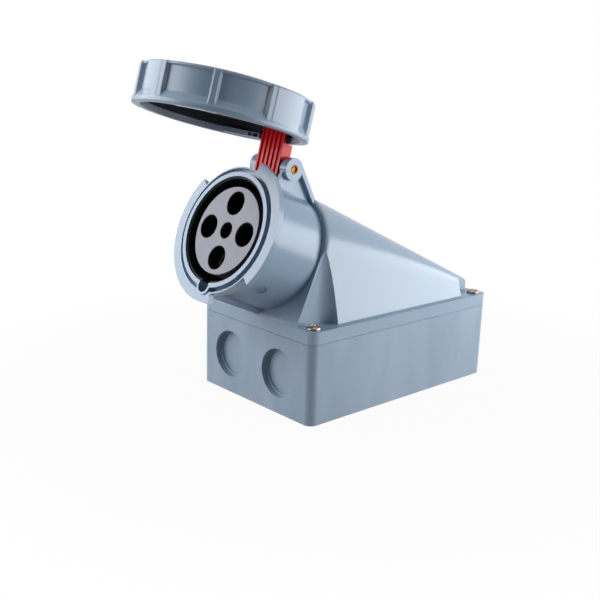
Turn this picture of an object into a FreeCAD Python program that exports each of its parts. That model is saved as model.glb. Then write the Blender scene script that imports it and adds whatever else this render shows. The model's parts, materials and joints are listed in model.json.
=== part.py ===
import FreeCAD, Part
import math
import os
import re
import Sketcher

# A surface mounting industrial wall socket with four round contacts and a pilot contact. It lies on its
# back: +Z points away from the wall, the socket looks towards -Y and X runs across. The origin is the
# centre of the wall face. All lengths are in mm and all angles in degrees.
doc = FreeCAD.newDocument("WallSocket")
sheet = doc.addObject("Spreadsheet::Sheet", "Sizes")

SIZES = (
    # back box and its seal
    ("box_width", 126.0, "across, X"),
    ("box_length", 197.0, "from the front side to the rear side, Y"),
    ("box_height", 59.0, "wall face to the top of the back box"),
    ("box_wall", 3.5, "side walls of the back box"),
    ("box_floor", 4.0, "floor that lies on the wall"),
    ("corner_radius", 6.5, "upright corners of box and cover"),
    ("seal_height", 0.7, "flat seal between box and cover"),
    ("seal_width", 2.6, "width of the flat seal"),
    ("seal_inset", 0.3, "seal edge behind the outside"),
    ("entry_radius", 18.3, "recess of a blanked cable entry"),
    ("entry_depth", 6.0, "depth of that recess"),
    ("entry_blank", 2.0, "thickness of the blank"),
    ("entry_wall", 2.5, "wall of the boss round the recess"),
    ("entry_spacing", 55.6, "between the two entries"),
    ("entry_drop", 1.1, "entry centre below the middle of the side wall"),
    ("entry_step", 1.6, "step round the blank"),
    ("fixing_spacing_x", 100.0, "wall holes, across"),
    ("fixing_spacing_y", 157.0, "wall holes, lengthways"),
    ("fixing_hole_radius", 2.75, "wall holes"),
    ("fixing_boss_radius", 6.0, "boss round a wall hole"),
    ("fixing_boss_height", 4.0, "boss above the floor"),
    # cover
    ("skirt_height", 9.05, "edge of the cover, seal to rim"),
    ("cover_wall", 3.0, "wall of the cover"),
    ("tilt", 24.0, "socket axis above the horizontal"),
    ("axis_rise", 47.9, "front wall foot to the socket axis, up the wall"),
    ("foot_inset", 0.5, "front wall plane behind the front side at the rim"),
    ("arch_radius", 47.0, "arch of the front wall"),
    ("arch_round", 3.0, "rounded edge of the arch"),
    ("front_wall", 3.5, "front wall of the cover"),
    ("carrier_hole_radius", 36.0, "hole in the front wall"),
    ("tail_foot_inset", 6.5, "tail wall behind the skirt at the rim"),
    ("tail_rear_inset", 7.0, "tail end behind the rear of the box"),
    ("tail_rear_height", 8.6, "tail above the rim at the rear"),
    ("tail_rear_radius", 7.0, "shoulder of the tail at the rear"),
    ("tail_rear_round", 4.0, "rounded rear edge of the tail"),
    ("tail_rear_slope", 1.5, "lean of the side wall at the rear"),
    ("tail_crest", 1.0, "half width of the level crest at the arch"),
    ("notch_side", 17.5, "corner pocket, in from the side of the box"),
    ("notch_front", 30.5, "front pocket, back from the front side"),
    ("notch_rear", 26.5, "rear pocket, forward from the rear side"),
    ("notch_radius", 11.0, "inner corner of a pocket"),
    # cover screws
    ("screw_inset", 8.3, "screw axis in from both sides"),
    ("screw_radius", 2.0, "shank"),
    ("screw_head_radius", 5.2, "head"),
    ("screw_head_height", 2.6, "head"),
    ("screw_slot_width", 1.3, "cross slot"),
    ("screw_slot_depth", 1.2, "cross slot"),
    ("screw_reach", 22.0, "shank below the top of the box"),
    ("screw_gap", 0.1, "shank to its hole"),
    ("pillar_radius", 5.8, "pillar under a cover screw"),
    # socket collar
    ("collar_length", 54.0, "rim to the front wall"),
    ("collar_bore_radius", 38.8, "inside of the collar"),
    ("collar_radius", 43.7, "outside of the collar"),
    ("lip_radius", 42.0, "front lip, outside"),
    ("groove_radius", 45.0, "groove round the lip, outside"),
    ("groove_depth", 5.0, "groove floor behind the rim"),
    ("groove_wall_radius", 46.0, "band round the groove"),
    ("groove_wall_back", 7.5, "back of that band behind the rim"),
    ("lock_radius", 52.7, "bayonet segments"),
    ("lock_front", 1.0, "segment front behind the rim"),
    ("lock_width", 4.0, "segment thickness"),
    ("lock_right_start", 16.0, "right segment, angle from the top"),
    ("lock_right_end", 127.5, "right segment, angle from the top"),
    ("lock_left_start", 169.0, "left segment, angle from the top"),
    ("lock_left_end", 308.0, "left segment, angle from the top"),
    ("key_radius", 5.2, "keyway"),
    ("key_offset", 40.8, "keyway centre below the socket axis"),
    ("key_wall", 1.8, "wall round the keyway"),
    ("drain_radius", 4.0, "blanked drain mark"),
    ("drain_depth", 0.6, "drain mark"),
    ("drain_back", 25.0, "drain mark behind the rim"),
    ("drain_angle", 136.0, "drain mark, angle from the top"),
    # hinge
    ("hinge_back", 26.5, "hinge axis behind the rim"),
    ("hinge_rise", 56.0, "hinge axis above the socket axis"),
    ("knuckle_radius", 8.0, "round end of an ear"),
    ("ear_width", 6.7, "thickness of an ear"),
    ("ear_web", 3.0, "web of an ear"),
    ("ear_rib", 4.0, "rib along the back of an ear"),
    ("ear_foot", 38.0, "ear root above the socket axis"),
    ("ear_rear_rise", 44.5, "ear at the front wall above the axis"),
    ("ear_slope", 40.0, "where the ear leaves the knuckle, angle"),
    ("ear_front_inset", 1.2, "ear front edge behind the knuckle"),
    ("pin_radius", 3.25, "hinge pin"),
    ("pin_proud", 0.3, "pin end outside the ear"),
    ("pin_gap", 0.05, "lid hub to the pin"),
    ("hinge_gap", 0.3, "lid hub to an ear"),
    # contact carrier
    ("carrier_radius", 31.9, "front block of the carrier"),
    ("carrier_recess", 3.0, "carrier face behind the rim"),
    ("carrier_seat", 5.0, "wide part ahead of the front wall"),
    ("carrier_gap", 0.3, "carrier to the hole in the wall"),
    ("carrier_flange_radius", 42.2, "flange behind the front wall"),
    ("carrier_flange", 4.0, "flange thickness"),
    ("carrier_tail_radius", 31.0, "block behind the flange"),
    ("carrier_tail", 6.0, "block behind the flange"),
    ("contact_circle", 20.0, "contacts round the socket axis"),
    ("shroud_radius", 8.8, "wide mouth of a contact hole"),
    ("shroud_depth", 21.0, "wide mouth of a contact hole"),
    ("earth_shroud_depth", 9.0, "wide mouth of the earth hole"),
    ("pilot_shroud_radius", 6.1, "wide mouth of the pilot hole"),
    ("pilot_shroud_depth", 7.0, "wide mouth of the pilot hole"),
    ("contact_gap", 0.1, "contact to its hole"),
    ("liner_wall", 1.5, "black sleeve in the collar"),
    ("liner_inset", 1.2, "sleeve behind the rim"),
    # contacts
    ("phase_pin_radius", 4.0, "pin that a phase contact takes"),
    ("earth_pin_radius", 5.0, "pin that the earth contact takes"),
    ("pilot_pin_radius", 3.0, "pin that the pilot contact takes"),
    ("contact_wall", 2.0, "wall of a contact sleeve"),
    ("pin_play", 0.05, "pin to its contact"),
    ("contact_bore_depth", 38.0, "bore of a contact"),
    ("terminal_radius", 7.6, "terminal behind the carrier"),
    ("terminal_length", 15.0, "terminal behind the carrier"),
    ("terminal_hole_radius", 3.6, "wire hole of a terminal"),
    ("clamp_radius", 2.5, "terminal screw"),
    ("clamp_proud", 1.5, "terminal screw outside its terminal"),
    ("carrier_screw_circle", 40.3, "carrier screws round the axis"),
    ("carrier_screw_radius", 1.2, "shank"),
    ("carrier_screw_head", 2.3, "head radius"),
    ("carrier_screw_height", 2.0, "head"),
    ("carrier_screw_reach", 9.0, "shank in the collar"),
    ("carrier_screw_upper", 55.0, "upper pair, angle from the top"),
    ("carrier_screw_lower", 140.0, "lower pair, angle from the top"),
    # lid
    ("lid_open", 81.0, "lid turned up from its closed place"),
    ("ring_back", 9.5, "open edge of the shut ring behind the rim"),
    ("ring_height", 26.0, "bayonet ring"),
    ("ring_bore_radius", 54.2, "inside of the ring"),
    ("ring_lip_radius", 50.0, "inward lip at the top of the ring"),
    ("ring_lip", 5.0, "thickness of that lip"),
    ("ring_radius", 58.8, "ring between its pockets"),
    ("ring_flange_radius", 59.4, "ring at its open edge"),
    ("ring_flange", 3.5, "flange at the open edge"),
    ("pocket_radius", 56.0, "floor of an outside pocket"),
    ("pocket_low", 6.5, "pocket above the open edge"),
    ("pocket_high", 24.0, "pocket above the open edge"),
    ("pocket_start", 2.3, "half width of the rib between pockets, angle"),
    ("pocket_end", 34.2, "pocket end from the rib, angle"),
    ("grip_start", 65.4, "grip from the rib, angle"),
    ("grip_end", 102.6, "grip end from the rib, angle"),
    ("grip_gap_start", 54.4, "narrow pocket ahead of the grip, angle"),
    ("grip_gap_end", 115.4, "narrow pocket after the grip, angle"),
    ("grip_radius", 59.5, "grip"),
    ("grip_flange_radius", 60.2, "grip at the open edge"),
    ("rib_angle", 134.6, "rib, angle from the hinge"),
    ("lug_inner_radius", 47.6, "bayonet lugs inside the ring"),
    ("lug_low", 0.5, "lug above the open edge"),
    ("lug_width", 3.7, "lug thickness"),
    ("lug_span", 32.0, "lug, angle"),
    ("lug_angle", 147.0, "lug, angle from the hinge"),
    ("retainer_radius", 51.3, "inside of the retaining ring"),
    ("retainer_low", 13.0, "retaining ring above the open edge"),
    ("retainer_width", 2.0, "retaining ring"),
    ("ring_play", 0.3, "cap flange to the ring, all ways"),
    ("cap_wall", 3.0, "wall of the cap"),
    ("cap_radius", 49.5, "skirt of the cap, outside"),
    ("cap_rise", 1.5, "cap above the top of the ring"),
    ("cap_edge", 13.0, "cap skirt above the open edge"),
    ("cap_dome", 1.2, "middle of the cap above its edge"),
    ("gasket_radius", 46.5, "lid gasket, outside"),
    ("gasket_bore_radius", 37.6, "lid gasket, inside"),
    ("gasket_step_radius", 43.4, "sealing face of the gasket, outside"),
    ("gasket_gap", 0.3, "gasket to the collar rim"),
    ("gasket_body", 3.0, "gasket inside the cap"),
    ("gasket_ledge", 2.5, "cap shoulder over the gasket"),
    ("arm_width", 25.0, "arm of the cap"),
    ("arm_front", 48.2, "arm front from the lid axis"),
    ("arm_radius", 51.0, "arm back from the lid axis"),
    ("arm_below_hub", 6.0, "arm end below the hinge axis"),
    ("arm_rib_height", 1.0, "ribs on the arm"),
    ("arm_rib_width", 1.7, "ribs on the arm"),
    ("arm_rib_count", 6, "ribs on the arm"),
    ("hub_radius", 7.0, "hub of the cap"),
    ("hub_side", 0.5, "hub wider than the arm, each side"),
    ("arm_ring_gap", 0.8, "thick part of the arm below the ring"),
)

for row, (name, value, note) in enumerate(SIZES, 1):
    sheet.set("A%d" % row, name)
    sheet.set("B%d" % row, str(value))
    sheet.set("C%d" % row, note)
    sheet.setAlias("B%d" % row, name)
doc.recompute()

# Places and lengths that follow from the sizes.
DERIVED = {
    "half_width": "box_width / 2",
    "half_length": "box_length / 2",
    "seam_z": "box_height + seal_height",
    "rim_z": "seam_z + skirt_height",
    "foot_y": "-half_length + foot_inset",
    "face_y": "foot_y + axis_rise * sin(tilt) - collar_length * cos(tilt)",
    "face_z": "rim_z + axis_rise * cos(tilt) + collar_length * sin(tilt)",
    "pin_y": "face_y + hinge_rise * sin(tilt) + hinge_back * cos(tilt)",
    "pin_z": "face_z + hinge_rise * cos(tilt) - hinge_back * sin(tilt)",
    "lid_tilt": "tilt + lid_open",
    "hub_drop": "hinge_back - ring_back",
    "lid_y": "pin_y - hub_drop * cos(lid_tilt) - hinge_rise * sin(lid_tilt)",
    "lid_z": "pin_z + hub_drop * sin(lid_tilt) - hinge_rise * cos(lid_tilt)",
    "screw_x": "half_width - screw_inset",
    "screw_y": "half_length - screw_inset",
    "hub_half": "arm_width / 2 + hub_side",
    "ear_inner": "hub_half + hinge_gap",
    "ear_outer": "ear_inner + ear_width",
    "notch_x": "half_width - notch_side",
    "wall_back": "collar_length + front_wall",
    "carrier_end": "wall_back + carrier_flange + carrier_tail",
    "liner_bore": "collar_bore_radius - liner_wall",
    "cap_top": "ring_height + cap_rise",
    "cap_flange_radius": "ring_bore_radius - ring_play",
    "cap_flange_low": "retainer_low + retainer_width + ring_play",
    "cap_flange_high": "ring_height - ring_lip - ring_play",
    "gasket_low": "ring_back + gasket_gap",
    "gasket_top": "cap_edge + gasket_body",
}
NAMES = {name for name, value, note in SIZES}


def term(text):
    # a length written in the names above, with the places put in full
    def word(match):
        name = match.group()
        if name in DERIVED:
            return "(" + term(DERIVED[name]) + ")"
        return "Sizes." + name if name in NAMES else name
    return re.sub(r"[a-z_]+", word, text)


def bind(thing, **formulas):
    # "Base_x" is the x where a piece stands and "Turn" is its angle
    paths = {"Base_x": "Placement.Base.x", "Base_y": "Placement.Base.y", "Base_z": "Placement.Base.z",
             "Turn": "Placement.Rotation.Angle"}
    for key, text in formulas.items():
        thing.setExpression(paths.get(key, key), term(str(text)))
    return thing


AXES = {"x": FreeCAD.Rotation(FreeCAD.Vector(0, 1, 0), 90), "y": FreeCAD.Rotation(FreeCAD.Vector(1, 0, 0), -90),
        "z": FreeCAD.Rotation(), "-z": FreeCAD.Rotation(FreeCAD.Vector(1, 0, 0), 180)}


def rod(name, radius, length, at=("0", "0", "0"), along="z"):
    # a round bar that starts at a point and runs along an axis
    thing = doc.addObject("Part::Cylinder", name)
    thing.Placement = FreeCAD.Placement(FreeCAD.Vector(), AXES[along])
    return bind(thing, Radius=radius, Height=length, Base_x=at[0], Base_y=at[1], Base_z=at[2])


def block(name, low, high):
    # a box between two corners
    thing = doc.addObject("Part::Box", name)
    for prop, path, a, b in zip(("Length", "Width", "Height"), ("Base_x", "Base_y", "Base_z"), low, high):
        bind(thing, **{prop: "(%s) - (%s)" % (b, a), path: a})
    return thing


def join(name, parts):
    thing = doc.addObject("Part::MultiFuse", name)
    thing.Shapes = parts
    thing.Refine = True
    return thing


def carve(name, base, tools):
    thing = doc.addObject("Part::Cut", name)
    thing.Base = base
    thing.Tool = tools[0] if len(tools) == 1 else join(name + "_cuts", tools)
    thing.Refine = True
    return thing


def sector(name, inner, outer, low, height, start, end):
    # part of a flat ring, between two angles measured from +Y towards +X
    wedge = doc.addObject("Part::Cylinder", name + "_wedge")
    wedge.Placement = FreeCAD.Placement(FreeCAD.Vector(), FreeCAD.Rotation(FreeCAD.Vector(0, 0, 1), 10))
    bind(wedge, Radius=outer, Height=height, Base_z=low, Turn="450 - (%s)" % end, Angle="(%s) - (%s)" % (end, start))
    return carve(name, wedge, [rod(name + "_bore", inner, height, ("0", "0", low))])


def outline(sketch, points):
    # a closed outline of straight lines through named corners
    values = [tuple(number(text) for text in point) for point in points]
    rough = [FreeCAD.Vector(x, y, 0) for x, y in values]
    count = len(points)
    for i in range(count):
        sketch.addGeometry(Part.LineSegment(rough[i], rough[(i + 1) % count]), False)
    for i in range(count):
        sketch.addConstraint(Sketcher.Constraint("Coincident", i, 2, (i + 1) % count, 1))
    for i, (point, value) in enumerate(zip(points, values)):
        for kind, text, size in zip(("DistanceX", "DistanceY"), point, value):
            index = sketch.addConstraint(Sketcher.Constraint(kind, -1, 1, i, 1, size))
            sketch.setExpression("Constraints[%d]" % index, term(text))


probe = doc.addObject("Part::Vertex", "Probe")


def number(text):
    # a named length in mm
    probe.setExpression("X", term(text))
    probe.recompute()
    return probe.X.Value


def plane(body, role):
    return next(f for f in body.Origin.OriginFeatures if f.Role == role)


def sketch_on(body, role, points):
    sketch = body.newObject("Sketcher::SketchObject", body.Name + "_outline")
    sketch.AttachmentSupport = (plane(body, role), [""])
    sketch.MapMode = "FlatFace"
    outline(sketch, points)
    return sketch


def lathe(name, points):
    # a turned piece: the outline (radius, height) swept round Z
    body = doc.addObject("PartDesign::Body", name)
    sketch = sketch_on(body, "XZ_Plane", points)
    turned = body.newObject("PartDesign::Revolution", name + "_turned")
    turned.Profile = sketch
    turned.ReferenceAxis = (sketch, ["V_Axis"])
    turned.Angle = 360
    return body


def slab(name, width, length, low, height, radius):
    # an upright block with rounded corners, centred on the origin
    body = doc.addObject("PartDesign::Body", name)
    x, y = "(%s) / 2" % width, "(%s) / 2" % length
    sketch = sketch_on(body, "XY_Plane", (("-" + x, "-" + y), (x, "-" + y), (x, y), ("-" + x, y)))
    pad = body.newObject("PartDesign::Pad", name + "_pad")
    pad.Profile = sketch
    bind(pad, Length=height)
    bind(body, Base_z=low)
    doc.recompute()
    upright = ["Edge%d" % (i + 1) for i, edge in enumerate(pad.Shape.Edges)
               if abs(edge.tangentAt(edge.FirstParameter).z) > 0.9]
    rounded = body.newObject("PartDesign::Fillet", name + "_corners")
    rounded.Base = (pad, upright)
    bind(rounded, Radius=radius)
    return body


NODES = []


def node(label, thing, frame="row", across="0", up="0", out="0"):
    # a finished sub-part: its name, and where its own frame stands in the row's, the socket's or the lid's
    thing.Label = label
    if frame == "row":
        bind(thing, Base_x=across, Base_y=up, Base_z=out)
    else:
        turn = {"socket": "tilt", "lid": "lid_tilt"}[frame]
        origin = {"socket": "face", "lid": "lid"}[frame]
        thing.Placement = FreeCAD.Placement(FreeCAD.Vector(), FreeCAD.Rotation(FreeCAD.Vector(1, 0, 0), 66))
        bind(thing, Base_x=across, Turn="450 - %s" % turn,
             Base_y="%s_y + (%s) * sin(%s) - (%s) * cos(%s)" % (origin, up, turn, out, turn),
             Base_z="%s_z + (%s) * cos(%s) + (%s) * sin(%s)" % (origin, up, turn, out, turn))
    NODES.append(thing)
    return thing


SIDES = (("left", "-"), ("right", ""))
ENDS = (("front", "-"), ("rear", ""))
FAR = "300"

# Back box: an open tray with a pillar under each cover screw, a bossed hole for each wall screw and two
# blanked round cable entries in its front side.
shell = carve("box_shell", slab("box_outside", "box_width", "box_length", "0", "box_height", "corner_radius"),
              [slab("box_inside", "box_width - 2 * box_wall", "box_length - 2 * box_wall", "box_floor",
                    "box_height", "corner_radius - box_wall")])
solids, holes = [shell], []
for side, sx in SIDES:
    for end, sy in ENDS:
        tag = end + "_" + side
        screw = (sx + "screw_x", sy + "screw_y")
        fixing = (sx + "fixing_spacing_x / 2", sy + "fixing_spacing_y / 2")
        solids.append(rod("pillar_" + tag, "pillar_radius", "box_height", screw + ("0",)))
        holes.append(rod("pillar_hole_" + tag, "screw_radius + screw_gap", "screw_reach + 1",
                         screw + ("box_height - screw_reach",)))
        solids.append(rod("fixing_boss_" + tag, "fixing_boss_radius", "box_floor + fixing_boss_height",
                          fixing + ("0",)))
        holes.append(rod("fixing_hole_" + tag, "fixing_hole_radius", "box_floor + fixing_boss_height + 2",
                         fixing + ("-1",)))
    entry = (sx + "entry_spacing / 2", "-half_length", "(box_floor + box_height) / 2 - entry_drop")
    solids.append(rod("entry_boss_" + side, "entry_radius + entry_wall", "entry_depth + entry_blank", entry, "y"))
    holes.append(rod("entry_recess_" + side, "entry_radius", "entry_depth - entry_step", entry, "y"))
    holes.append(rod("entry_pan_" + side, "entry_radius - entry_step", "entry_depth", entry, "y"))
node("base_box", carve("base_box", join("box_solids", solids), holes))

# Flat seal that lies on the wall of the back box.
node("cover_seal", carve("cover_seal", slab("seal_outside", "box_width - 2 * seal_inset", "box_length - 2 * seal_inset",
                                            "box_height", "seal_height", "corner_radius - seal_inset"),
                         [slab("seal_inside", "box_width - 2 * seal_inset - 2 * seal_width",
                               "box_length - 2 * seal_inset - 2 * seal_width", "box_height", "seal_height",
                               "corner_radius - seal_inset - seal_width")]))

# Tail of the cover: it runs from the arch of the slanted front wall down to a low rounded end.
marks = {key: number(key) for key in ("face_y", "face_z", "rim_z", "half_width", "half_length", "wall_back")}
size = {name: float(sheet.get(name)) for name in NAMES}
to_socket = FreeCAD.Placement(FreeCAD.Vector(0, marks["face_y"], marks["face_z"]),
                              FreeCAD.Rotation(FreeCAD.Vector(1, 0, 0), 90 - size["tilt"]))


def tail_section(foot, low, crest, top, radius, place):
    # foot half width and height, then the shoulder arc from the side wall to the level crest
    V = FreeCAD.Vector
    centre = V(crest, top - radius, 0)
    reach = V(foot, low, 0) - centre
    lean = math.atan2(reach.y, reach.x) + math.acos(radius / reach.Length)
    side = centre + V(math.cos(lean), math.sin(lean), 0) * radius
    middle = centre + V(math.cos((lean + math.pi / 2) / 2), math.sin((lean + math.pi / 2) / 2), 0) * radius
    right = [V(foot, low, 0), side, middle, V(crest, top, 0)]
    left = [V(-p.x, p.y, 0) for p in right]
    edges = [Part.makeLine(left[0], right[0]), Part.makeLine(right[0], right[1]),
             Part.Arc(right[1], right[2], right[3]).toShape(), Part.makeLine(right[3], left[3]),
             Part.Arc(left[3], left[2], left[1]).toShape(), Part.makeLine(left[1], left[0])]
    wire = Part.Wire(edges)
    wire.Placement = place
    return wire


def tail_body(name, inset, depth, foot_drop):
    # the outside of the tail, or its inside at an inset from it
    half = marks["half_width"] - size["tail_foot_inset"] - inset
    rear = marks["half_length"] - size["tail_rear_inset"] - inset
    front = tail_section(half, -size["axis_rise"] - foot_drop, size["tail_crest"], size["arch_radius"] - inset,
                         size["arch_radius"] - inset - 0.001,
                         to_socket.multiply(FreeCAD.Placement(FreeCAD.Vector(0, 0, -depth), FreeCAD.Rotation())))
    low = marks["rim_z"] - foot_drop
    high = marks["rim_z"] + size["tail_rear_height"] - inset
    radius = size["tail_rear_radius"] - inset
    upright = FreeCAD.Rotation(FreeCAD.Vector(1, 0, 0), 90)
    back = tail_section(half, low, half - radius - size["tail_rear_slope"], high, radius,
                        FreeCAD.Placement(FreeCAD.Vector(0, rear, 0), upright))
    shape = Part.makeLoft([front, back], True, True)
    if not inset:
        rim = [edge for edge in shape.Edges if all(abs(v.Y - rear) < 0.01 for v in edge.Vertexes)
               and edge.BoundBox.ZMax > high - radius]
        shape = shape.makeFillet(size["tail_rear_round"], rim)
        wall = to_socket.inverse()
        rim = [edge for edge in shape.Edges
               if all(abs(wall.multVec(v.Point).z + depth) < 0.01 for v in edge.Vertexes)
               and edge.BoundBox.ZMax > marks["rim_z"] + 1]
        shape = shape.makeFillet(size["arch_round"], rim)
    thing = doc.addObject("Part::Feature", name)
    thing.Shape = shape
    return thing


outside = tail_body("tail_outside", 0.0, size["collar_length"], 0.0)
inside = tail_body("tail_inside", size["cover_wall"], marks["wall_back"], size["skirt_height"] + size["cover_wall"])


def mirrored(name, thing):
    # the same on the other side of the middle plane
    copy = doc.addObject("Part::Mirroring", name)
    copy.Source = thing
    copy.Normal = FreeCAD.Vector(1, 0, 0)
    return copy


def pair(name, maker):
    right = maker(name + "_right")
    return [right, mirrored(name + "_left", right)]


def pocket(name, end, inset, low, high):
    # an upright corner pocket with a round inner corner, grown by an inset
    x, r = "notch_x - %s" % inset, "notch_radius + %s" % inset
    if end == "front":
        y = "-half_length + notch_front + %s" % inset
        edge = [("-" + FAR, y), ("-" + FAR, "%s - (%s)" % (y, r))]
        centre = "%s - (%s)" % (y, r)
    else:
        y = "half_length - notch_rear - %s" % inset
        edge = [(y, FAR), ("%s + %s" % (y, r), FAR)]
        centre = "%s + %s" % (y, r)
    return join(name, [block(name + "_wide", ("%s + %s" % (x, r), edge[0][0], low), (FAR, edge[0][1], high)),
                       block(name + "_deep", (x, edge[1][0], low), (FAR, edge[1][1], high)),
                       rod(name + "_round", r, "(%s) - (%s)" % (high, low), ("%s + %s" % (x, r), centre, low))])


def socket_rod(name, radius, start, end, across="0", up="0"):
    # a bar along the socket axis, between two depths behind the rim, placed in the row's frame
    thing = rod(name, radius, "(%s) - (%s)" % (end, start))
    thing.Placement = FreeCAD.Placement(FreeCAD.Vector(), FreeCAD.Rotation(FreeCAD.Vector(1, 0, 0), 66))
    return bind(thing, Base_x=across, Turn="450 - tilt",
                Base_y="face_y + (%s) * sin(tilt) + (%s) * cos(tilt)" % (up, end),
                Base_z="face_z + (%s) * cos(tilt) - (%s) * sin(tilt)" % (up, end))


cuts = [block("front_trim", ("-" + FAR, "-" + FAR, "0"), (FAR, "-half_length", FAR))]
inner_cuts = [block("inner_trim", ("-" + FAR, "-" + FAR, "0"), (FAR, "-half_length + cover_wall", FAR))]
for end, sy in ENDS:
    cuts += pair("pocket_" + end, lambda name: pocket(name, end, "0", "rim_z", FAR))
    inner_cuts += pair("pocket_wall_" + end, lambda name: pocket(name, end, "cover_wall", "0", FAR))
tail_outer = carve("tail_outer", outside, cuts)
tail_inner = carve("tail_inner", inside, inner_cuts)
skirt = slab("skirt_outside", "box_width", "box_length", "seam_z", "skirt_height", "corner_radius")
skirt_hollow = slab("skirt_inside", "box_width - 2 * cover_wall", "box_length - 2 * cover_wall", "seam_z",
                    "skirt_height - cover_wall", "corner_radius - cover_wall")
hull = carve("cover_hull", join("cover_outer", [skirt, tail_outer]), [skirt_hollow, tail_inner])
CARRIER_SCREWS = tuple(
    ("%s_%s" % (level, side), "carrier_screw_circle * %ssin(carrier_screw_%s)" % (sx, level),
     "carrier_screw_circle * cos(carrier_screw_%s)" % level)
    for level, side, sx in (("upper", "right", ""), ("lower", "right", ""), ("lower", "left", "-"), ("upper", "left", "-")))
bosses = [hull]
holes = [socket_rod("carrier_hole", "carrier_hole_radius", "collar_length - 1", "wall_back + 1")]
holes += [socket_rod("carrier_screw_hole_" + name, "carrier_screw_radius + contact_gap", "collar_length - 1",
                     "wall_back + 1", u, v) for name, u, v in CARRIER_SCREWS]
for side, sx in SIDES:
    for end, sy in ENDS:
        screw = (sx + "screw_x", sy + "screw_y", "seam_z")
        bosses.append(rod("cover_boss_%s_%s" % (end, side), "pillar_radius", "skirt_height", screw))
        holes.append(rod("cover_hole_%s_%s" % (end, side), "screw_radius + screw_gap", "skirt_height", screw))
node("cover_housing", carve("cover_housing", join("cover_solids", bosses), holes))

# Four cover screws with a low domed head and a cross slot; each goes down into its pillar.
for side, sx in SIDES:
    for end, sy in ENDS:
        tag = "_%s_%s" % (end, side)
        body = lathe("cover_screw_body" + tag, (
            ("0", "-skirt_height - seal_height - screw_reach + 1"),
            ("screw_radius", "-skirt_height - seal_height - screw_reach + 1"), ("screw_radius", "0"),
            ("screw_head_radius", "0"), ("screw_head_radius", "screw_head_height / 2"),
            ("screw_head_radius * 3 / 4", "screw_head_height"), ("0", "screw_head_height")))
        reach, half = "screw_head_radius * 3 / 4", "screw_slot_width / 2"
        floor = "screw_head_height - screw_slot_depth"
        slots = [block("screw_slot_x" + tag, ("-" + reach, "-" + half, floor), (reach, half, FAR)),
                 block("screw_slot_y" + tag, ("-" + half, "-" + reach, floor), (half, reach, FAR))]
        node("cover_screw" + tag, carve("cover_screw" + tag, body, slots), "row",
             sx + "screw_x", sy + "screw_y", "rim_z")

# Socket collar: a tube with a grooved front lip, two bayonet segments, a keyway under it that shows as a
# keel, and two ears on top that hold the hinge pin.
tube = lathe("collar_tube", (
    ("collar_bore_radius", "0"), ("lip_radius", "0"), ("lip_radius", "-groove_depth"),
    ("groove_radius", "-groove_depth"), ("groove_radius", "-lock_front"), ("groove_wall_radius", "-lock_front"),
    ("groove_wall_radius", "-groove_wall_back"), ("collar_radius", "-groove_wall_back"),
    ("collar_radius", "-collar_length"), ("collar_bore_radius", "-collar_length")))
locks = [sector("lock_" + side, "groove_radius", "lock_radius", "-lock_front - lock_width", "lock_width",
                "lock_%s_start" % side, "lock_%s_end" % side) for side in ("right", "left")]
keel = rod("keel", "key_radius + key_wall", "collar_length", ("0", "-key_offset", "-collar_length"))
knuckle_top = ("hinge_rise + knuckle_radius * sin(ear_slope)", "hinge_back + knuckle_radius * cos(ear_slope)")
ear_front = "-(hinge_back - knuckle_radius + ear_front_inset)"


def plate(name, points, start, width):
    # a flat piece across the socket: its outline (height over the axis, distance ahead of the rim)
    body = doc.addObject("PartDesign::Body", name)
    pad = body.newObject("PartDesign::Pad", name + "_pad")
    pad.Profile = sketch_on(body, "YZ_Plane", points)
    bind(pad, Length=width)
    return bind(body, Base_x=start)


web = plate("ear_web", (("ear_foot", ear_front), ("hinge_rise", ear_front), (knuckle_top[0], "-(%s)" % knuckle_top[1]),
                        ("ear_rear_rise", "-collar_length"), ("ear_foot", "-collar_length")),
            "-ear_outer", "2 * ear_outer")
ear_gap = block("ear_gap", ("-ear_inner", "0", "-collar_length"), ("ear_inner", FAR, "0"))
ear_sides = pair("ear_side", lambda name: plate(name, (
    ("0", "0"), (knuckle_top[0] + " - ear_rib", "0"), (knuckle_top[0] + " - ear_rib", "-(%s)" % knuckle_top[1]),
    ("ear_rear_rise - ear_rib", "-collar_length"), ("0", "-collar_length")), "ear_inner + ear_web", FAR))
webs = carve("ear_webs", web, [ear_gap] + ear_sides)
knuckles = carve("knuckles", rod("knuckle_bar", "knuckle_radius", "2 * ear_outer",
                                 ("-ear_outer", "hinge_rise", "-hinge_back"), "x"),
                 [block("knuckle_gap", ("-ear_inner", "0", "-collar_length"), ("ear_inner", FAR, "0"))])
drain = doc.addObject("Part::Compound", "drain_mark")
drain.Links = [rod("drain_disc", "drain_radius", FAR, ("collar_radius - drain_depth", "0", "-drain_back"), "x")]
drain.Placement = FreeCAD.Placement(FreeCAD.Vector(), FreeCAD.Rotation(FreeCAD.Vector(0, 0, 1), 10))
bind(drain, Turn="450 - drain_angle")
cuts = [rod("collar_bore", "collar_bore_radius", "collar_length", ("0", "0", "-collar_length")),
        rod("keyway", "key_radius", "collar_length", ("0", "-key_offset", "-collar_length")),
        rod("pin_hole", "pin_radius", "2 * ear_outer", ("-ear_outer", "hinge_rise", "-hinge_back"), "x"), drain]
cuts += [rod("collar_screw_hole_" + name, "carrier_screw_radius", "carrier_screw_reach + 1",
             (u, v, "-collar_length")) for name, u, v in CARRIER_SCREWS]
node("socket_collar", carve("socket_collar", join("collar_solids", [tube, keel, webs, knuckles] + locks), cuts),
     "socket")
node("hinge_pin", rod("hinge_pin", "pin_radius", "2 * (ear_outer + pin_proud)"), "row")
pin = NODES[-1]
pin.Placement = FreeCAD.Placement(FreeCAD.Vector(), AXES["x"])
bind(pin, Base_x="-ear_outer - pin_proud", Base_y="pin_y", Base_z="pin_z")

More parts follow.
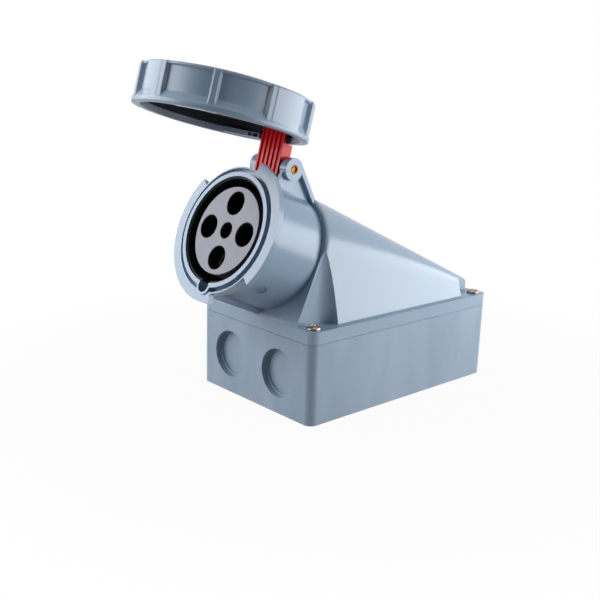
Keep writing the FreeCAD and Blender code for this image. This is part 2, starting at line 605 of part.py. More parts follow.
# Black sleeve in the collar, with a foot that closes the ring shaped space at its bottom.
node("collar_liner", carve("collar_liner", lathe("liner_body", (
    ("liner_bore", "-liner_inset"), ("collar_bore_radius", "-liner_inset"),
    ("collar_bore_radius", "-collar_length"), ("carrier_hole_radius", "-collar_length"),
    ("carrier_hole_radius", "-collar_length + carrier_seat"), ("liner_bore", "-collar_length + carrier_seat"))),
    [rod("liner_keyway", "key_radius", "collar_length", ("0", "-key_offset", "-collar_length"))]), "socket")

# Contact carrier: the light front block with four round holes and a pilot hole; its flange lies behind
# the front wall of the cover and is screwed through it into the collar.
carrier = lathe("carrier_body", (
    ("0", "-carrier_recess"), ("carrier_radius", "-carrier_recess"),
    ("carrier_radius", "-collar_length + carrier_seat"),
    ("carrier_hole_radius - carrier_gap", "-collar_length + carrier_seat"),
    ("carrier_hole_radius - carrier_gap", "-wall_back"), ("carrier_flange_radius", "-wall_back"),
    ("carrier_flange_radius", "-wall_back - carrier_flange"), ("carrier_tail_radius", "-wall_back - carrier_flange"),
    ("carrier_tail_radius", "-carrier_end"), ("0", "-carrier_end")))
CONTACTS = (("phase_contact_1", "-contact_circle", "0", "phase_pin_radius", "shroud_radius", "shroud_depth"),
            ("phase_contact_2", "0", "contact_circle", "phase_pin_radius", "shroud_radius", "shroud_depth"),
            ("phase_contact_3", "contact_circle", "0", "phase_pin_radius", "shroud_radius", "shroud_depth"),
            ("earth_contact", "0", "-contact_circle", "earth_pin_radius", "shroud_radius", "earth_shroud_depth"),
            ("pilot_contact", "0", "0", "pilot_pin_radius", "pilot_shroud_radius", "pilot_shroud_depth"))
holes = []
for name, u, v, pin_r, mouth_r, mouth in CONTACTS:
    holes.append(rod(name + "_hole", "%s + pin_play + contact_wall + contact_gap" % pin_r, "carrier_end",
                     (u, v, "-carrier_end")))
    holes.append(rod(name + "_mouth", mouth_r, mouth + " + 1", (u, v, "-carrier_recess - " + mouth)))
holes += [rod("carrier_flange_hole_" + name, "carrier_screw_radius + contact_gap", "carrier_flange",
              (u, v, "-wall_back - carrier_flange")) for name, u, v in CARRIER_SCREWS]
node("contact_carrier", carve("contact_carrier", carrier, holes), "socket")

# Contacts: a bored sleeve that takes the round pin of the plug, with a screw terminal behind the carrier.
for name, u, v, pin_r, mouth_r, mouth in CONTACTS:
    front = "-carrier_recess - " + mouth
    bore = pin_r + " + pin_play"
    rear = "-carrier_end - terminal_length"
    body = lathe(name + "_body", (
        (bore, front), (bore + " + contact_wall", front), (bore + " + contact_wall", "-carrier_end"),
        ("terminal_radius", "-carrier_end"), ("terminal_radius", rear), ("0", rear),
        ("0", front + " - contact_bore_depth"), (bore, front + " - contact_bore_depth")))
    middle = "-carrier_end - terminal_length / 2"
    wire = rod(name + "_wire_hole", "terminal_hole_radius", "terminal_length - contact_wall", ("0", "0", rear))
    clamp = rod(name + "_clamp_hole", "clamp_radius", "terminal_radius", ("0", "0", middle), "y")
    clamp.Placement = FreeCAD.Placement(FreeCAD.Vector(), AXES["y"])
    bind(clamp, Base_z=middle)
    node(name, carve(name, body, [wire, clamp]), "socket", u, v)
    screw = rod(name + "_clamp_raw", "clamp_radius", "terminal_radius - terminal_hole_radius / 2 + clamp_proud",
                ("0", "terminal_hole_radius / 2", middle), "y")
    cap = block(name + "_clamp_slot", ("-" + FAR, "terminal_radius + clamp_proud / 2", "%s - clamp_proud / 4" % middle),
                (FAR, FAR, "%s + clamp_proud / 4" % middle))
    node("terminal_screw_" + name.replace("_contact", ""), carve(name + "_clamp", screw, [cap]), "socket", u, v)

# Carrier screws, put in from inside the cover.
for name, u, v in CARRIER_SCREWS:
    body = lathe("carrier_screw_body_" + name, (
        ("0", "-collar_length + carrier_screw_reach"), ("carrier_screw_radius", "-collar_length + carrier_screw_reach"),
        ("carrier_screw_radius", "-wall_back - carrier_flange"), ("carrier_screw_head", "-wall_back - carrier_flange"),
        ("carrier_screw_head", "-wall_back - carrier_flange - carrier_screw_height"),
        ("0", "-wall_back - carrier_flange - carrier_screw_height")))
    node("carrier_screw_" + name, body, "socket", u, v)

# Lid cap: a round cap whose flange is caught inside the bayonet ring. Its ribbed arm passes through the
# ring and ends in the hub round the hinge pin.
shell = lathe("cap_shell", (
    ("0", "cap_top - cap_wall"), ("gasket_radius - gasket_ledge", "cap_top - cap_wall"),
    ("gasket_radius - gasket_ledge", "gasket_top"), ("gasket_radius", "gasket_top"), ("gasket_radius", "cap_edge"),
    ("cap_radius", "cap_edge"), ("cap_radius", "cap_flange_low"), ("cap_flange_radius", "cap_flange_low"),
    ("cap_flange_radius", "cap_flange_high"), ("cap_radius", "cap_flange_high"), ("cap_radius", "cap_top"),
    ("0", "cap_top + cap_dome")))
arm_end = "-hub_drop - arm_below_hub"
strip = doc.addObject("Part::Common", "arm_strip")
strip.Base = block("arm_strip_block", ("-arm_width / 2", "arm_front", arm_end),
                   ("arm_width / 2", "arm_radius", "cap_flange_high"))
strip.Tool = rod("arm_strip_round", "arm_radius", "cap_flange_high - (%s)" % arm_end, ("0", "0", arm_end))
parts = [shell, strip, block("arm_root", ("-arm_width / 2", "arm_front", "-hub_drop"),
                             ("arm_width / 2", "hinge_rise", "-arm_ring_gap")),
         rod("lid_hub", "hub_radius", "2 * hub_half", ("-hub_half", "hinge_rise", "-hub_drop"), "x")]
for i in range(int(size["arm_rib_count"])):
    middle = "(arm_width - arm_rib_width) * (%d / (arm_rib_count - 1) - 1 / 2)" % i
    parts.append(block("arm_rib_%d" % (i + 1), (middle + " - arm_rib_width / 2", "arm_front - arm_rib_height", arm_end),
                       (middle + " + arm_rib_width / 2", "arm_front + arm_rib_height", "cap_edge + cap_wall")))
node("lid_cap", carve("lid_cap", join("lid_solids", parts), [
    rod("hub_bore", "pin_radius + pin_gap", "2 * hub_half", ("-hub_half", "hinge_rise", "-hub_drop"), "x")]), "lid")

# Lid gasket: a rubber ring in the mouth of the cap that seals on the rim of the collar.
node("lid_gasket", lathe("lid_gasket", (
    ("gasket_bore_radius", "gasket_low"), ("gasket_step_radius", "gasket_low"), ("gasket_step_radius", "cap_edge"),
    ("gasket_radius", "cap_edge"), ("gasket_radius", "gasket_top"), ("gasket_bore_radius", "gasket_top"))), "lid")

# Bayonet ring: it turns round the cap. Outside it has pockets, narrow ribs and two grips; inside it has
# two lugs that go behind the bayonet segments of the collar.
ring = [lathe("ring_body", (
    ("ring_bore_radius", "0"), ("ring_flange_radius", "0"), ("ring_flange_radius", "ring_flange"),
    ("ring_radius", "pocket_low"), ("ring_radius", "ring_height"), ("ring_lip_radius", "ring_height"),
    ("ring_lip_radius", "ring_height - ring_lip"), ("ring_bore_radius", "ring_height - ring_lip")))]
cuts = []
for i, turn in enumerate(("0", "180")):
    middle = "rib_angle + " + turn
    ring.append(sector("grip_%d" % i, "ring_bore_radius", "grip_radius", "0", "ring_height",
                       middle + " + grip_start", middle + " + grip_end"))
    ring.append(sector("grip_flange_%d" % i, "ring_bore_radius", "grip_flange_radius", "0", "ring_flange",
                       middle + " + grip_start", middle + " + grip_end"))
    ring.append(sector("lug_%d" % i, "lug_inner_radius", "ring_bore_radius + ring_play", "lug_low", "lug_width",
                       "lug_angle + %s - lug_span / 2" % turn, "lug_angle + %s + lug_span / 2" % turn))
    for tag, start, end in (("a", "pocket_start", "pocket_end"), ("b", "-pocket_end", "-pocket_start"),
                            ("c", "grip_gap_start", "grip_start"), ("d", "grip_end", "grip_gap_end")):
        cuts.append(sector("ring_pocket_%d%s" % (i, tag), "pocket_radius", FAR, "pocket_low",
                           "pocket_high - pocket_low", "%s + (%s)" % (middle, start), "%s + (%s)" % (middle, end)))
node("bayonet_ring", carve("bayonet_ring", join("ring_solids", ring), cuts), "lid")

# Retaining ring that keeps the bayonet ring on the flange of the cap.
node("ring_retainer", lathe("ring_retainer", (
    ("retainer_radius", "retainer_low"), ("ring_bore_radius", "retainer_low"),
    ("ring_bore_radius", "retainer_low + retainer_width"), ("retainer_radius", "retainer_low + retainer_width"))),
    "lid")

doc.recompute()
faulty = [thing.Name for thing in doc.Objects if "Invalid" in thing.State or "Error" in thing.State]
for thing in NODES:
    if thing.Shape.isNull() or not thing.Shape.isValid() or not thing.Shape.Solids:
        faulty.append(thing.Label)
if faulty:
    raise RuntimeError("faulty: " + ", ".join(faulty))
os.makedirs("parts", exist_ok=True)
for thing in NODES:
    thing.Shape.exportStep("parts/%s.step" % thing.Label)
    box = thing.Shape.BoundBox
    print("%-28s solids %d volume %9.0f  x %7.1f %7.1f  y %7.1f %7.1f  z %7.1f %7.1f" % (
        thing.Label, len(thing.Shape.Solids), thing.Shape.Volume, box.XMin, box.XMax, box.YMin, box.YMax,
        box.ZMin, box.ZMax))
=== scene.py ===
import bmesh
import bpy
import json
import math
from mathutils import Matrix, Vector
from mathutils.bvhtree import BVHTree


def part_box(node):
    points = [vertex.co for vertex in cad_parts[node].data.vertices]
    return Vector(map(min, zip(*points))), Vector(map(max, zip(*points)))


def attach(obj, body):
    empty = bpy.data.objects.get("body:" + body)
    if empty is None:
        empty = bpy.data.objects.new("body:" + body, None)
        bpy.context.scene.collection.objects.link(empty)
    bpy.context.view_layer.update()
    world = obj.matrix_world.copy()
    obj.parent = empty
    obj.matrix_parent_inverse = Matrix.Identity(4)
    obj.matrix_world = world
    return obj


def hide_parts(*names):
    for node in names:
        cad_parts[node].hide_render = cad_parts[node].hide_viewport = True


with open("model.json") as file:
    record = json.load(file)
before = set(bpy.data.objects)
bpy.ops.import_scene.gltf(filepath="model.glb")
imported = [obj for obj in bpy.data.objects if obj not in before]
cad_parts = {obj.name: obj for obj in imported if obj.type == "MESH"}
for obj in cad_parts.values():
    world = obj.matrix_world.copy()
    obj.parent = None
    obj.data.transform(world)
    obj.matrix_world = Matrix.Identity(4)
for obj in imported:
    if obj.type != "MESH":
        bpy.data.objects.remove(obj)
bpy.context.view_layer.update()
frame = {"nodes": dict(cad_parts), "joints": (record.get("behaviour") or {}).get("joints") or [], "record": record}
scene = bpy.context.scene
scene.view_settings.view_transform = "Standard"


# Back box. An open tray moulded in blue-grey plastic that is screwed to the wall; its edges are
# slightly rounded and its faces carry the soft mottle of a deep moulding.
HOUSING_COLOUR = "9aaaba"
HOUSING_SHADOW = "8a9db1"
BOX_ROUGH = 0.35
BOX_MOTTLE = 45.0
BOX_STREAK = (1, 1, 0.25)
BOX_PATCH = 0.04
BOX_EDGE = 0.0007
PLASTIC_IOR = 1.5
PATCH_STOPS = (0.32, 0.68)
GLOSS_STOPS = (0.3, 0.7)
GLOSS_FINER = 2.5
SKIN_STRENGTH = 0.6
SAME_PLACE = 2e-6
FLAT_WITHIN = 0.04  # degrees
EDGE_STEEPER = 32.0  # degrees
EDGE_SEGMENTS = 3
LARGE_FACE_WEIGHT = 80


def paint(code):
    # a colour of six hex digits, as the light it gives back
    parts = [int(code[i:i + 2], 16) / 255 for i in (0, 2, 4)]
    light = [p / 12.92 if p <= 0.04045 else ((p + 0.055) / 1.055) ** 2.4 for p in parts]
    return (*light, 1.0)


def wired(tree, kind, feeds=None, **settings):
    # one node of a tree; an input is fed by a value or by the output of another node
    added = tree.nodes.new(kind)
    for name, value in settings.items():
        setattr(added, name, value)
    for name, value in (feeds or {}).items():
        if isinstance(value, bpy.types.NodeSocket):
            tree.links.new(value, added.inputs[name])
        else:
            added.inputs[name].default_value = value
    return added


def moulded_plastic(name, colour, shade, rough, mottle, grain=900.0, depth=0.000005,
                    streak=(1, 1, 1), patch=0.008):
    # soft patches of two close colours, a gloss that wanders a little, and a fine moulded grain
    material = bpy.data.materials.new(name)
    material.use_nodes = True
    tree = material.node_tree
    shader = tree.nodes["Principled BSDF"]
    shader.inputs["IOR"].default_value = PLASTIC_IOR
    where = wired(tree, "ShaderNodeTexCoord").outputs["Object"]
    mapping = wired(tree, "ShaderNodeMapping", {"Vector": where, "Scale": streak})
    stretched = mapping.outputs["Vector"]

    def cloud(scale, detail, source):
        return wired(tree, "ShaderNodeTexNoise", {
            "Scale": scale, "Detail": detail, "Vector": source}).outputs["Fac"]

    patches = wired(tree, "ShaderNodeValToRGB", {"Fac": cloud(mottle, 3.0, stretched)})
    for stop, place, code in zip(patches.color_ramp.elements, PATCH_STOPS, (shade, colour)):
        stop.position = place
        stop.color = paint(code)
    gloss = wired(tree, "ShaderNodeMapRange", {
        "Value": cloud(mottle * GLOSS_FINER, 2.0, stretched),
        "From Min": GLOSS_STOPS[0], "From Max": GLOSS_STOPS[1],
        "To Min": rough - patch, "To Max": rough + patch})
    skin = wired(tree, "ShaderNodeBump", {
        "Strength": SKIN_STRENGTH, "Distance": depth, "Height": cloud(grain, 2.0, where)})
    tree.links.new(patches.outputs["Color"], shader.inputs["Base Color"])
    tree.links.new(gloss.outputs["Result"], shader.inputs["Roughness"])
    tree.links.new(skin.outputs["Normal"], shader.inputs["Normal"])
    return material


def placed(name, shape):
    # an object in the scene that shows a mesh, a curve, a lamp or a camera
    piece = bpy.data.objects.new(name, shape)
    scene.collection.objects.link(piece)
    return piece


def moulding(name, work):
    # a piece from a mesh that has been worked out
    shape = bpy.data.meshes.new(name)
    work.to_mesh(shape)
    work.free()
    return placed(name, shape)


def plain_mesh(thing, name):
    # the shape with its modifiers made real, in place of the one that had them
    made = thing.evaluated_get(bpy.context.evaluated_depsgraph_get())
    shape = bpy.data.meshes.new_from_object(made)
    shape.name = name
    thing.modifiers.clear()
    thing.data = shape
    return thing


def rounded(node, name, edge, material, weld=8e-6):
    # the same solid with the small round edges that a mould leaves
    work = bmesh.new()
    work.from_mesh(frame["nodes"][node].data)
    bmesh.ops.remove_doubles(work, verts=work.verts, dist=SAME_PLACE)
    bmesh.ops.dissolve_degenerate(work, edges=work.edges, dist=weld)
    bmesh.ops.dissolve_limit(work, angle_limit=math.radians(FLAT_WITHIN), verts=work.verts,
                             edges=work.edges)
    for face in work.faces:
        face.smooth = True
    piece = moulding(name, work)
    piece.data.materials.append(material)
    bevel = piece.modifiers.new("edges", "BEVEL")
    bevel.width = edge
    bevel.segments = EDGE_SEGMENTS
    bevel.limit_method = "ANGLE"
    bevel.angle_limit = math.radians(EDGE_STEEPER)
    weigh = piece.modifiers.new("large_faces_lead", "WEIGHTED_NORMAL")
    weigh.mode = "FACE_AREA"
    weigh.weight = LARGE_FACE_WEIGHT
    weigh.keep_sharp = True
    return plain_mesh(piece, name)


def fitted(piece, body, slot, *nodes):
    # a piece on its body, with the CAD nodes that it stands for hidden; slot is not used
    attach(piece, body)
    if nodes:
        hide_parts(*nodes)
    return piece


box_plastic = moulded_plastic("back_box_plastic", HOUSING_COLOUR, HOUSING_SHADOW, BOX_ROUGH,
                              BOX_MOTTLE, streak=BOX_STREAK, patch=BOX_PATCH)
fitted(rounded("base_box", "back_box", BOX_EDGE, box_plastic),
       "housing", "housing_grey", "base_box")


# Blanked cable entries. Each blank in the front of the box is held by a thin ring of plastic, so
# that it can be knocked out; the ring stands a little proud of the blank.
ENTRY_SPACING = 0.0556
ENTRY_RISE = 0.0304
BLANK_FACE = 0.0060
BLANK_RING = 0.0151
BLANK_RING_THICK = 0.00016


def growth(name, inputs):
    # an empty node tree with named inputs and one result
    tree = bpy.data.node_groups.new(name, "GeometryNodeTree")
    tree.interface.new_socket("Geometry", in_out="OUTPUT", socket_type="NodeSocketGeometry")
    for label, kind, value in inputs:
        socket = tree.interface.new_socket(label, in_out="INPUT", socket_type=kind)
        if value is not None:
            socket.default_value = value
    given = tree.nodes.new("NodeGroupInput").outputs
    return tree, given, tree.nodes.new("NodeGroupOutput")


def finished(tree, shape, end, material):
    # the last two steps: instances made real, and the finish put on
    real = wired(tree, "GeometryNodeRealizeInstances", {"Geometry": shape})
    dress = wired(tree, "GeometryNodeSetMaterial", {
        "Geometry": real.outputs["Geometry"], "Material": material})
    tree.links.new(dress.outputs["Geometry"], end.inputs["Geometry"])


def round_wire(tree, curve, thick, sides, capped=False):
    # a round wire that follows a curve
    section = wired(tree, "GeometryNodeCurvePrimitiveCircle", {
        "Resolution": sides, "Radius": thick})
    return wired(tree, "GeometryNodeCurveToMesh", {
        "Curve": curve, "Profile Curve": section.outputs["Curve"],
        "Fill Caps": capped}).outputs["Mesh"]


def grown(name, tree, **values):
    # the plain mesh that a tree gives with these values
    piece = placed(name, bpy.data.meshes.new(name))
    modifier = piece.modifiers.new("growth", "NODES")
    modifier.node_group = tree
    for item in tree.interface.items_tree:
        if item.in_out == "INPUT" and item.name in values:
            modifier[item.identifier] = values[item.name]
    return plain_mesh(piece, name)


def smoothed(piece, sharp=None):
    # round faces shade as one, and an edge steeper than sharp degrees stays crisp
    for face in piece.data.polygons:
        face.use_smooth = True
    if sharp:
        piece.data.set_sharp_from_angle(angle=math.radians(sharp))


tree, given, end = growth("blank_rings", (("Spacing", "NodeSocketFloat", ENTRY_SPACING),
                                          ("Radius", "NodeSocketFloat", BLANK_RING),
                                          ("Thick", "NodeSocketFloat", BLANK_RING_THICK)))
ends = []
for share in (-0.5, 0.5):
    reach = wired(tree, "ShaderNodeMath", {0: given["Spacing"], 1: share}, operation="MULTIPLY")
    ends.append(wired(tree, "ShaderNodeCombineXYZ", {"X": reach.outputs[0]}).outputs[0])
row = wired(tree, "GeometryNodeMeshLine", {
    "Count": 2, "Start Location": ends[0], "Offset": ends[1]}, mode="END_POINTS")
circle = wired(tree, "GeometryNodeCurvePrimitiveCircle", {
    "Resolution": 96, "Radius": given["Radius"]})
copies = wired(tree, "GeometryNodeInstanceOnPoints", {
    "Points": row.outputs["Mesh"],
    "Instance": round_wire(tree, circle.outputs["Curve"], given["Thick"], 10)})
finished(tree, copies.outputs["Instances"], end, box_plastic)
rings = grown("blank_rings", tree, Spacing=ENTRY_SPACING, Radius=BLANK_RING,
              Thick=BLANK_RING_THICK)
box_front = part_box("base_box")[0].y
rings.data.transform(Matrix.Translation((0, box_front + BLANK_FACE, ENTRY_RISE))
                     @ Matrix.Rotation(math.pi / 2, 4, "X"))
smoothed(rings)
fitted(rings, "housing", "housing_grey")


# Box seal. A flat strip of grey rubber lies between box and cover, pressed by the screws until
# only a hairline of it shows.
THIN_EDGE = 0.0002


def matt_rubber(name, colour, rough=0.55, shine=0.35):
    # one even colour with a coarser skin and little shine
    material = moulded_plastic(name, colour, colour, rough, mottle=30.0, depth=0.00003)
    shader = material.node_tree.nodes["Principled BSDF"]
    shader.inputs["Specular IOR Level"].default_value = shine
    return material


seal_rubber = matt_rubber("seal_rubber", "969ca2")
fitted(rounded("cover_seal", "box_seal", THIN_EDGE, seal_rubber),
       "housing", "seal_black", "cover_seal")


# Cover. One moulding: edge, four corner pockets, slanted arched front wall and the long tail that
# slopes down to the rear. It is glossier than the box, with rounder edges.
COVER_EDGE = 0.0009
cover_plastic = moulded_plastic("cover_plastic", "97abbe", "92a6ba", rough=0.23, mottle=10.0)
cover = fitted(rounded("cover_housing", "cover", COVER_EDGE, cover_plastic),
               "housing", "housing_grey", "cover_housing")


# Mould line. A hair-fine raised line of the cover's own plastic, left where the mould closed, runs
# round the arch of the cover just behind its front edge.
COLLAR_LENGTH = 0.054
HINGE_RISE = 0.056
HINGE_BACK = 0.0265
LINE_BACK = 0.0032
LINE_THICK = 0.00013
LINE_SWEEP = 250.0  # degrees
LINE_STEPS = 60
LINE_FROM = 0.12  # the cover is looked for from so far out, and only so far in
LINE_REACH = 0.085
ACROSS = Vector((1, 0, 0))


def seat(origin, x, y, z):
    # the place of a piece whose own axes point along x, y and z
    return Matrix.Translation(origin) @ Matrix((x, y, z)).transposed().to_4x4()


def around(degrees):
    # the way out from the middle of the collar, so many degrees round from its top
    return SOCKET_UP * math.cos(math.radians(degrees)) + ACROSS * math.sin(math.radians(degrees))


twist = next(j for j in frame["joints"] if j["name"] == "ring_twist")
hinge = next(j for j in frame["joints"] if j["name"] == "lid_hinge")
pilot = next(m for m in frame["record"]["mounts"] if m["name"] == "pilot_bore")
SOCKET_OUT = Vector(pilot["axis"]).normalized()
SOCKET_UP = ACROSS.cross(SOCKET_OUT) * -1
face_centre = Vector(hinge["pos_m"]) - SOCKET_UP * HINGE_RISE + SOCKET_OUT * HINGE_BACK
socket_place = seat(face_centre, ACROSS, SOCKET_UP, SOCKET_OUT)
work = bmesh.new()
work.from_mesh(cover.data)
skin = BVHTree.FromBMesh(work)
work.free()
path = []
for step in range(LINE_STEPS + 1):
    way = around(-LINE_SWEEP / 2 + LINE_SWEEP * step / LINE_STEPS)
    far = face_centre - SOCKET_OUT * (COLLAR_LENGTH + LINE_BACK) + way * LINE_FROM
    spot, _, _, distance = skin.ray_cast(far, -way)
    if spot is not None and distance < LINE_REACH:
        path.append(spot)
line = bpy.data.curves.new("mould_line", "CURVE")
line.dimensions = "3D"
spline = line.splines.new("POLY")
spline.points.add(len(path) - 1)
for point, spot in zip(spline.points, path):
    point.co = (*spot, 1)
guide = placed("mould_line_guide", line)
tree, given, end = growth("mould_line", (("Path", "NodeSocketObject", None),
                                         ("Thick", "NodeSocketFloat", LINE_THICK)))
source = wired(tree, "GeometryNodeObjectInfo", {"Object": given["Path"]})
wire = round_wire(tree, source.outputs["Geometry"], given["Thick"], 8, capped=True)
finished(tree, wire, end, cover_plastic)
fitted(grown("mould_line", tree, Path=guide, Thick=LINE_THICK), "housing", "housing_grey")
bpy.data.objects.remove(guide)


# Cover screws. Four bright steel screws with low domed heads and a cross slot, driven by hand, so
# each stands at its own angle.
HEAD_RADIUS = 0.0051
HEAD_HEIGHT = 0.0026
HEAD_EDGE = 0.00012
HEAD_SHARP = 40  # degrees
SLOT_WIDTH = 0.0013
SLOT_LENGTH = HEAD_RADIUS * 1.36
SLOT_DEPTH = 0.0015
CUTTER_HEIGHT = 0.004
SCREW_MIDDLE_IN = 0.0052  # from the outermost side of a screw to its middle
SCREW_SEED = 7


def turned(name, points, segments=48, closed=True):
    # a turned piece: an outline of radius and height swept round Z
    work = bmesh.new()
    turns = [2 * math.pi * i / segments for i in range(segments)]
    rows = [[work.verts.new((r * math.cos(turn), r * math.sin(turn), z)) for turn in turns]
            for r, z in points]
    pairs = list(zip(rows, rows[1:])) + ([(rows[-1], rows[0])] if closed else [])
    for low, high in pairs:
        for i in range(segments):
            work.faces.new((low[i], low[(i + 1) % segments], high[(i + 1) % segments], high[i]))
    bmesh.ops.remove_doubles(work, verts=work.verts, dist=1e-7)
    bmesh.ops.recalc_face_normals(work, faces=work.faces)
    return moulding(name, work)


def bright_metal(name, colour, rough):
    # one even colour, with the fine unevenness of turned and plated metal
    material = moulded_plastic(name, colour, colour, rough, mottle=60.0, depth=0.00002)
    material.node_tree.nodes["Principled BSDF"].inputs["Metallic"].default_value = 1.0
    return material


screw_steel = bright_metal("screw_steel", "968b82", rough=0.24)
head = turned("screw_head", (
    (0, -0.0015), (0.0038, -0.0015), (HEAD_RADIUS * 0.97, 0), (HEAD_RADIUS, 0.0003),
    (HEAD_RADIUS * 0.99, 0.0009), (HEAD_RADIUS * 0.9, 0.0017), (HEAD_RADIUS * 0.7, 0.0022),
    (HEAD_RADIUS * 0.4, 0.0025), (0, HEAD_HEIGHT)), closed=False)
work = bmesh.new()
for long, wide in ((SLOT_LENGTH, SLOT_WIDTH), (SLOT_WIDTH, SLOT_LENGTH)):
    middle = HEAD_HEIGHT - SLOT_DEPTH + CUTTER_HEIGHT / 2
    bmesh.ops.create_cube(work, size=1, matrix=Matrix.Translation((0, 0, middle))
                          @ Matrix.Diagonal((long, wide, CUTTER_HEIGHT, 1)))
cutter = moulding("cross_cutter", work)
cut = head.modifiers.new("slot", "BOOLEAN")
cut.operation = "DIFFERENCE"
cut.object = cutter
cut.solver = "EXACT"
cut.use_self = True
soft = head.modifiers.new("edges", "BEVEL")
soft.width = HEAD_EDGE
soft.segments = 2
soft.limit_method = "ANGLE"
soft.angle_limit = math.radians(HEAD_SHARP)
plain_mesh(head, "screw_head")
smoothed(head, HEAD_SHARP)
bpy.data.objects.remove(cutter)

low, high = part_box("cover_screw_front_left")[0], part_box("cover_screw_rear_right")[1]
SPAN_ACROSS = high.x - low.x - 2 * SCREW_MIDDLE_IN
SPAN_ALONG = high.y - low.y - 2 * SCREW_MIDDLE_IN
tree, given, end = growth("cover_screws", (
    ("Screw", "NodeSocketObject", None), ("Across", "NodeSocketFloat", SPAN_ACROSS),
    ("Along", "NodeSocketFloat", SPAN_ALONG), ("Seed", "NodeSocketInt", SCREW_SEED)))
source = wired(tree, "GeometryNodeObjectInfo", {"Object": given["Screw"]})
corners = wired(tree, "GeometryNodeMeshGrid", {
    "Vertices X": 2, "Vertices Y": 2, "Size X": given["Across"], "Size Y": given["Along"]})
spin = wired(tree, "FunctionNodeRandomValue", {
    "Min": (0, 0, 0), "Max": (0, 0, math.pi / 2), "Seed": given["Seed"]}, data_type="FLOAT_VECTOR")
copies = wired(tree, "GeometryNodeInstanceOnPoints", {
    "Points": corners.outputs["Mesh"], "Instance": source.outputs["Geometry"],
    "Rotation": spin.outputs["Value"]})
finished(tree, copies.outputs["Instances"], end, screw_steel)
screws = grown("cover_screws", tree, Screw=head, Across=SPAN_ACROSS, Along=SPAN_ALONG,
               Seed=SCREW_SEED)
screws.data.transform(Matrix.Translation((0, (low.y + high.y) / 2, high.z - HEAD_HEIGHT)))
fitted(screws, "housing", "screw_steel", "cover_screw_front_left", "cover_screw_front_right",
       "cover_screw_rear_left", "cover_screw_rear_right")
bpy.data.objects.remove(head)


# Socket collar. A thick tube moulded with a grooved lip, two bayonet segments, the keyway's keel
# and two hinge ears. It has the same gloss as the cover.
COLLAR_EDGE = 0.0006
collar_plastic = moulded_plastic("collar_plastic", "91a7bd", "8ca2b9", rough=0.24, mottle=10.0)
fitted(rounded("socket_collar", "collar", COLLAR_EDGE, collar_plastic),
       "housing", "housing_grey", "socket_collar")


# Drain blank. Low on the collar a thin round blank, a shade darker, marks where a drain hole can
# be opened. A faint raised ring from the mould goes round it.
COLLAR_RADIUS = 0.0437
DRAIN_ANGLE = 136.0  # degrees round the collar from its top
DRAIN_BACK = 0.025
DRAIN_BLANK = 0.00385
DRAIN_FLOOR = -0.00065
DRAIN_FACE = -0.0003
DRAIN_RING = 0.0066
DRAIN_RING_THICK = 0.00012
drain_plastic = moulded_plastic("drain_plastic", "7088a1", "6b839c", rough=0.3, mottle=10.0)
drain_way = around(DRAIN_ANGLE)
drain_place = seat(face_centre - SOCKET_OUT * DRAIN_BACK + drain_way * COLLAR_RADIUS,
                   SOCKET_OUT, drain_way.cross(SOCKET_OUT), drain_way)
blank = turned("drain_blank", (
    (0, DRAIN_FLOOR), (DRAIN_BLANK, DRAIN_FLOOR), (DRAIN_BLANK, DRAIN_FACE - 0.0001),
    (DRAIN_BLANK - 0.00015, DRAIN_FACE), (0, DRAIN_FACE)), closed=False)
blank.data.materials.append(drain_plastic)
ring_outline = [(DRAIN_RING + DRAIN_RING_THICK * math.cos(math.pi * k / 4),
                 DRAIN_RING_THICK * math.sin(math.pi * k / 4)) for k in range(8)]
drain_ring = turned("drain_ring", ring_outline, segments=72)
drain_ring.data.materials.append(collar_plastic)
for corner in drain_ring.data.vertices:
    corner.co.z -= COLLAR_RADIUS - math.sqrt(COLLAR_RADIUS ** 2 - corner.co.y ** 2)
for piece in (blank, drain_ring):
    piece.data.transform(drain_place)
    smoothed(piece, sharp=50)
    fitted(piece, "housing", "housing_grey")


# Hinge pin. A brass bar pressed through both ears of the collar, turned in a lathe, with a round
# recess in each end.
PIN_RECESS = 0.0013
pin_low, pin_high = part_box("hinge_pin")
PIN_RADIUS = (pin_high.z - pin_low.z) / 2
PIN_HALF = (pin_high.x - pin_low.x) / 2
pin_end = [(0, PIN_HALF - PIN_RECESS), (PIN_RADIUS * 0.62, PIN_HALF - PIN_RECESS),
           (PIN_RADIUS * 0.7, PIN_HALF - 0.0001), (PIN_RADIUS * 0.86, PIN_HALF),
           (PIN_RADIUS, PIN_HALF - 0.0004)]
pin = turned("pin", [(r, -z) for r, z in pin_end] + pin_end[::-1], closed=False)
pin.data.materials.append(bright_metal("pin_brass", "85591a", rough=0.45))
pin.data.transform(Matrix.Translation((pin_low + pin_high) / 2)
                   @ Matrix.Rotation(math.pi / 2, 4, "Y"))
smoothed(pin, sharp=35)
fitted(pin, "housing", "pin_brass", "hinge_pin")


# Collar sleeve. A black insulating tube lines the collar and closes the space round the contact
# carrier; its rim lies a little behind the rim of the collar.
SMALL_EDGE = 0.0003
black_plastic = matt_rubber("sleeve_black", "14181c", rough=0.5, shine=0.1)
fitted(rounded("collar_liner", "sleeve", SMALL_EDGE, black_plastic),
       "housing", "seal_black", "collar_liner")


# Contact carrier. A block of matt lavender-grey insulating compound with five mouths for the pins
# of a plug, held from behind by its own screws.
carrier_compound = moulded_plastic("carrier_compound", "878994", "7f818c", rough=0.5, mottle=90.0,
                                   grain=1100.0, depth=0.00001)
fitted(rounded("contact_carrier", "carrier", SMALL_EDGE, carrier_compound),
       "housing", "carrier_grey", "contact_carrier")


# Painted shade in the mouths. Each mouth of the carrier is lined with a near-black cup, painted
# shade, open in the middle for the pin; the three phases stand on the right, at the top and on the left.
CONTACT_CIRCLE = 0.02
CARRIER_FACE = 0.0034
SHADE_CUP_WALL = 0.0003
SHADE_CUP_FLOOR = 0.0004
PHASE_COUNT = 3
# near-black painted shade deep in the mouths
painted_shade_black = matt_rubber("painted_shade_black", "0b0e12", rough=0.6)


